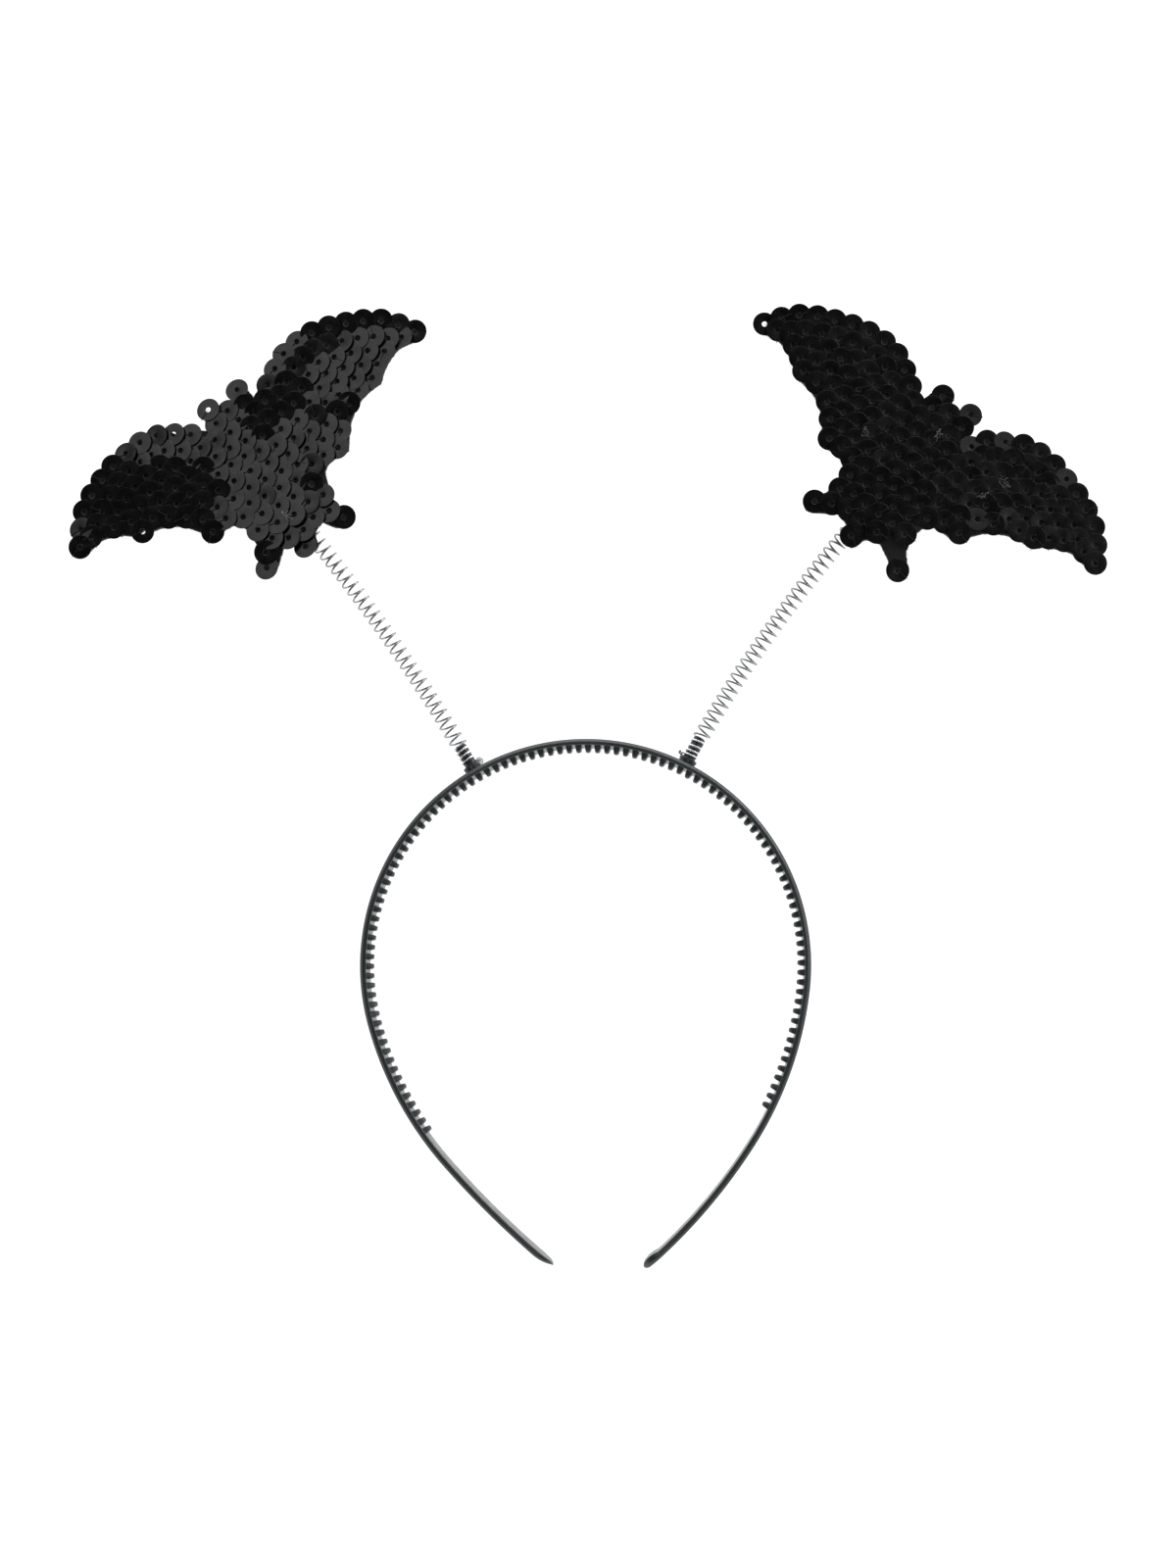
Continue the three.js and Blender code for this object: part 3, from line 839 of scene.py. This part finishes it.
def fixed_places(side):
    """Plan positions of the sequins along the wings and at the points."""
    row = catmull(WING_ROW, SEQUIN_PITCH)
    ahead = np.gradient(row, axis=0)
    ahead /= np.linalg.norm(ahead, axis=1)[:, None]
    below = np.column_stack([ahead[:-1, 1], -ahead[:-1, 0]])
    second = (row + np.roll(row, -1, axis=0))[:-1] / 2 + SECOND_ROW["below"] * below
    row = np.concatenate([row, second[second[:, 0] < SECOND_ROW["ends"]]])
    fixed = [bat_warp(side, np.concatenate([row, row * (-1, 1)]))]
    fixed += [np.array(places) for places in POINT_SEQUINS[side].values()]
    return np.concatenate(fixed)


def sequin_places(side, rng):
    """Plan positions of all sequins: the fixed ones, then loose ones that fill the felt."""
    fixed = fixed_places(side)
    line = felt_outline(side, OUTLINE_STEP)
    columns, rows = LOOSE_GRID["columns"], LOOSE_GRID["rows"]
    across, up = np.meshgrid(columns * SEQUIN_PITCH, rows * LOOSE_GRID["row_pitch"])
    across = across + (rows % 2)[:, None] * SEQUIN_PITCH / 2
    shake = rng.normal(0, LOOSE_GRID["shake"], (across.size, 2))
    loose = np.column_stack([across.ravel(), up.ravel()]) + shake
    loose = loose[inside(loose, line)]
    loose = loose[nearest_on(loose, line)[0] > LOOSE_MARGIN]
    loose = loose[nearest_gap(loose, fixed) > LOOSE_FROM_FIXED["first"]]
    loose = settled(clothed(side, loose), fixed, line)
    bare = field(COVER["grid"])
    bare = clothed(side, bare[inside(bare, line)])
    bare = bare[nearest_on(bare, line)[0] > COVER["edge"]]
    for _ in range(COVER["rounds"]):
        gaps = nearest_gap(bare, np.concatenate([loose, fixed]))
        if gaps.max() < COVER["reach"]:
            break
        loose = np.concatenate([loose, bare[[gaps.argmax()]]])
    loose = clothed(side, settled(loose, fixed, line))
    loose = loose[nearest_gap(loose, fixed) > LOOSE_FROM_FIXED["last"]]
    return np.concatenate([fixed, loose])


def lit_shares(side, places):
    lit = np.full(len(places), LIT_AS_A_RULE[side])
    for row in PATCHES[side]:
        lit[inside(places, np.array(row["corners"], float))] = row["lit"]
    return lit


def sequin_shell(rng):
    """One sequin about its own middle, a little bent."""
    angles = np.linspace(0, 2 * math.pi, SEQUIN_SIDES, endpoint=False)
    bend, spin = rng.normal(0, SEQUIN_BEND), rng.uniform(0, math.pi)
    verts, faces = [], []
    for radius, z in SEQUIN_LINE:
        warp = bend * (radius / SEQUIN_RADIUS) ** 2 * np.cos(2 * (angles - spin))
        verts.append(np.column_stack([radius * np.cos(angles), radius * np.sin(angles), z + warp]))
    rows = len(SEQUIN_LINE)
    for r in range(rows):
        here, there = r * SEQUIN_SIDES, (r + 1) % rows * SEQUIN_SIDES
        for i in range(SEQUIN_SIDES):
            j = (i + 1) % SEQUIN_SIDES
            faces.append((here + i, here + j, there + j, there + i))
    return np.concatenate(verts), faces


def axes_for(normal):
    z = normal / np.linalg.norm(normal)
    x = np.cross((0, 1.0, 0), z)
    x /= np.linalg.norm(x)
    return np.stack([x, np.cross(z, x), z])


def make_sequins(side, looks):
    """The single sequins of a bat, each with its own lean, and the thread over most of them."""
    rng = np.random.default_rng(SIDES[side]["seeds"]["sequins"])
    bat = SIDES[side]["bat"]
    places = sequin_places(side, rng)
    lean_side = -1 if side == "left" else 1
    thread_way = math.pi if side == "left" else 0
    dark_lean = DARK_LEAN[side]
    height = drape(places) + FELT_THICK + SEQUIN_LIFT
    discs, threads = Body(), Body()
    for p, z, lit in zip(places, height, lit_shares(side, places)):
        lean_up = dark_lean + lit * (LIT_LEAN - dark_lean)
        normal = np.array([lean_side * SHINGLE, lean_up, 1.0])
        normal[:2] += rng.normal(0, LEAN_SPREAD, 2)
        axes = axes_for(normal)
        raised = LIT_AS_A_RULE[side] * DARK_RAISE * (1 - lit)
        centre = np.array([*p, z + rng.uniform(*SEQUIN_UNEVEN) + raised])
        shell, faces = sequin_shell(rng)
        discs.add(to_part(bat, shell @ axes + centre), faces)
        if rng.uniform() < THREAD["share"]:
            way = rng.normal(thread_way, THREAD["sway"])
            path = np.array([(r * math.cos(way), r * math.sin(way), h) for r, h in THREAD_LINE])
            path = to_part(bat, spaced(path, THREAD["step"]) @ axes + centre)
            threads.tube(path, THREAD["thick"], THREAD["sides"])
    sewn = discs.object(f"bat_{side}_sequins_sewn", looks["sequin"], smooth_deg=30)
    thread = threads.object(f"bat_{side}_thread", looks["thread"], smooth_deg=60)
    return sewn, thread


def make_knots(side, look):
    """Tangles of sewing thread that catch the light between the sequins."""
    rng = np.random.default_rng(SIDES[side]["seeds"]["knots"])
    bat, reach = SIDES[side]["bat"], KNOT["reach"]
    body = Body()
    for place in KNOTS[side]:
        high = drape(np.array([place]))[0] + FELT_THICK + KNOT["above"]
        for _ in range(KNOT["loops"]):
            steps = rng.normal(0, reach, (KNOT["bends"], 3)) * (1, 1, KNOT["flat"])
            walk = np.cumsum(steps, axis=0)
            aside = rng.normal(0, reach, 3) * (1, 1, KNOT["flat_between"])
            walk += np.array([*place, high]) - walk.mean(0) + aside
            body.tube(to_part(bat, catmull(walk, KNOT["step"])), KNOT["thick"], KNOT["sides"])
    return body.object(f"bat_{side}_thread_knots", look, smooth_deg=60)


def make_felt(side, look):
    """The felt as a thick sheet over the drape, and its true flat area."""
    rng = np.random.default_rng(SIDES[side]["seeds"]["felt"])
    bat = SIDES[side]["bat"]
    line = cut_outline(side, FELT["step"])
    line = line + rng.normal(0, FELT["fray"], line.shape)
    filling = field(FELT["grid"])
    filling = filling[inside(filling, line)]
    filling = filling[nearest_on(filling, line)[0] > FELT["grid_margin"]]
    count = len(line)
    flat = [Vector(p) for p in np.concatenate([line, filling])]
    rim = [(i, (i + 1) % count) for i in range(count)]
    plan, _, faces, _, _, _ = delaunay_2d_cdt(flat, rim, [], 1, FELT["weld"])
    plan = np.array([tuple(p) for p in plan])
    base = drape(plan)
    pile = rng.normal(0, FELT["pile"], len(plan))
    top = np.column_stack([plan, base + FELT_THICK + pile])
    low = np.column_stack([plan, base])
    n = len(plan)
    edges = dict.fromkeys((f[i], f[(i + 1) % len(f)]) for f in faces for i in range(len(f)))
    border = [e for e in edges if (e[1], e[0]) not in edges]
    body_faces = [tuple(f) for f in faces] + [tuple(i + n for i in reversed(f)) for f in faces]
    body_faces += [(b, a, a + n, b + n) for a, b in border]
    body = Body()
    body.add(to_part(bat, np.concatenate([top, low])), body_faces)
    felt = body.object(f"bat_{side}_felt_sheet", look, smooth_deg=40)
    area = float(sum(abs(np.cross(plan[f[1]] - plan[f[0]], plan[f[2]] - plan[f[0]])) / 2 for f in faces))
    return felt, area * MM * MM * bat["size"] ** 2


def make_fuzz(side, look):
    """Short fibres that stand out of the felt's cut edge."""
    rng = np.random.default_rng(SIDES[side]["seeds"]["fuzz"])
    bat = SIDES[side]["bat"]
    line = cut_outline(side, FUZZ["step"])
    ahead = np.roll(line, -1, axis=0) - np.roll(line, 1, axis=0)
    ahead /= np.linalg.norm(ahead, axis=1)[:, None]
    out = np.column_stack([ahead[:, 1], -ahead[:, 0]])
    if not inside(line[:1] - FUZZ["probe"] * out[:1], line)[0]:
        out = -out
    highest = FELT_THICK - FUZZ["below_top"]
    body = Body()
    for p, t, n, z in zip(line, ahead, out, drape(line)):
        for _ in range(FUZZ["each"]):
            long = rng.uniform(*FUZZ["long"])
            way = n * rng.uniform(*FUZZ["out"]) + t * rng.normal(0, FUZZ["sway"])
            bend = t * rng.normal(0, FUZZ["bend"])
            start = np.array([*(p - FUZZ["root"] * n), z + rng.uniform(FUZZ["low"], highest)])
            rise = rng.normal(*FUZZ["rise"])
            path = [
                start + np.array([*(s * long * way + s * s * long * bend), s * rise * long])
                for s in FUZZ["along"]
            ]
            path = np.maximum(np.array(path), (-np.inf, -np.inf, FUZZ["least_high"]))
            body.tube(to_part(bat, path), FUZZ["thick"], FUZZ["sides"])
    return body.object(f"bat_{side}_felt_fuzz", look, smooth_deg=60)


# Everything on the part rides on the one body

looks = {
    "plastic": plastic_material(),
    # The one spring steel in two copies: a dull one for the open coils, and a far brighter one for the eye
    # and the turns on the peg as painted highlight
    "steel": steel_material("spring_steel", dull=0.27, bright=0.36),
    "peg steel painted highlight": steel_material("spring_steel_painted_highlight", dull=0.86, bright=0.94),
    "felt": felt_material(),
    "sequin": sequin_material(),
    "thread": thread_material(),
    "knot": knot_material(),
    "glue": glue_material(),
}

band = make_band(looks["plastic"])
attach(band, "root")
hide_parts("headband")
bead = make_bead(looks["glue"])
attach(bead, "root")

for side in SIDES:
    wire = make_spring(side, looks["steel"], looks["peg steel painted highlight"])
    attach(wire, "root")
    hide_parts(f"spring_{side}")
    felt, felt_area = make_felt(side, looks["felt"])
    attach(felt, "root")
    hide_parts(f"bat_{side}_felt")
    fuzz = make_fuzz(side, looks["felt"])
    sewn, thread = make_sequins(side, looks)
    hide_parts(f"bat_{side}_sequins")
    knots = make_knots(side, looks["knot"])
    for obj, slot in ((fuzz, "felt"), (sewn, "sequin"), (thread, "felt"), (knots, "felt")):
        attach(obj, "root")


# Floor: a white table that glows, so that it stays an even white

floor_mesh = bpy.data.meshes.new("floor")
floor_corners = [(x * FLOOR_REACH, y * FLOOR_REACH, 0) for x, y in ((-1, -1), (1, -1), (1, 1), (-1, 1))]
floor_mesh.from_pydata(floor_corners, [], [(0, 1, 2, 3)])
floor = bpy.data.objects.new("floor", floor_mesh)
floor.location.z = -FLOOR_DROP
bpy.context.scene.collection.objects.link(floor)
floor_look, _, floor_shader = material("floor_white", colour=grey(0.5), roughness=0.9)
floor_shader.inputs["Emission Color"].default_value = (1, 1, 1, 1)
floor_shader.inputs["Emission Strength"].default_value = 1.0
floor_mesh.materials.append(floor_look)


# Light: a pale horizon under a dark ceiling, with soft boxes over it

world = bpy.data.worlds.new("studio")
bpy.context.scene.world = world
world.use_nodes = True
tree = world.node_tree
background = tree.nodes["Background"]
background.inputs["Strength"].default_value = SKY_STRENGTH
where = tree.nodes.new("ShaderNodeTexCoord")
split = tree.nodes.new("ShaderNodeSeparateXYZ")
ramp = tree.nodes.new("ShaderNodeValToRGB")
tree.links.new(where.outputs["Generated"], split.inputs["Vector"])
tree.links.new(split.outputs["Z"], ramp.inputs["Fac"])
tree.links.new(ramp.outputs["Color"], background.inputs["Color"])
for i, (height, level) in enumerate(SKY):
    stop = ramp.color_ramp.elements[i] if i < 2 else ramp.color_ramp.elements.new(height)
    stop.position = height
    stop.color = (*grey(level), 1)


def soft_box(name, at, aim, size, watts):
    data = bpy.data.lights.new(name, "AREA")
    data.shape = "RECTANGLE"
    data.size, data.size_y = size
    data.energy = watts
    lamp = bpy.data.objects.new(name, data)
    lamp.location = at
    lamp.rotation_mode = "QUATERNION"
    lamp.rotation_quaternion = (Vector(aim) - Vector(at)).to_track_quat("-Z", "Y")
    bpy.context.scene.collection.objects.link(lamp)


# Three boxes face straight down from above, and three face the part from behind and from the right
soft_box("key_left", at=(-0.70, 0.83, 1.0), aim=(-0.70, 0.83, 0.0), size=(0.92, 0.72), watts=2.7)
soft_box("key_right", at=(0.62, 0.83, 1.0), aim=(0.62, 0.83, 0.0), size=(0.76, 0.72), watts=1.0)
soft_box("front_top", at=(-0.06, -0.41, 1.1), aim=(-0.06, -0.41, 0.0), size=(0.46, 0.5), watts=1.1)
soft_box("back_strip", at=(0.0, 1.1, 0.28), aim=(0.0, 0.0, 0.0), size=(1.4, 0.4), watts=5.0)
soft_box("right_strip", at=(0.84, 0.72, 0.26), aim=(0.0, 0.0, 0.0), size=(0.5, 0.26), watts=2.4)
soft_box("right_high", at=(0.9, 0.15, 0.6), aim=(0.0, 0.0, 0.0), size=(0.4, 0.9), watts=1.7)


# Camera at the photograph's place, nearly overhead

lens = bpy.data.cameras.new("camera")
lens.lens = LENS["long"]
lens.sensor_width = LENS["sensor"]
lens.clip_start = LENS["nearest"]
camera = bpy.data.objects.new("camera", lens)
bpy.context.scene.collection.objects.link(camera)
back = (EYE - AIM).normalized()
right = Vector((0, 1, 0)).cross(back).normalized()
up = back.cross(right)
camera.matrix_world = Matrix.Translation(EYE) @ Matrix((right, up, back)).transposed().to_4x4()
bpy.context.scene.camera = camera
bpy.context.scene.view_settings.view_transform = "Standard"
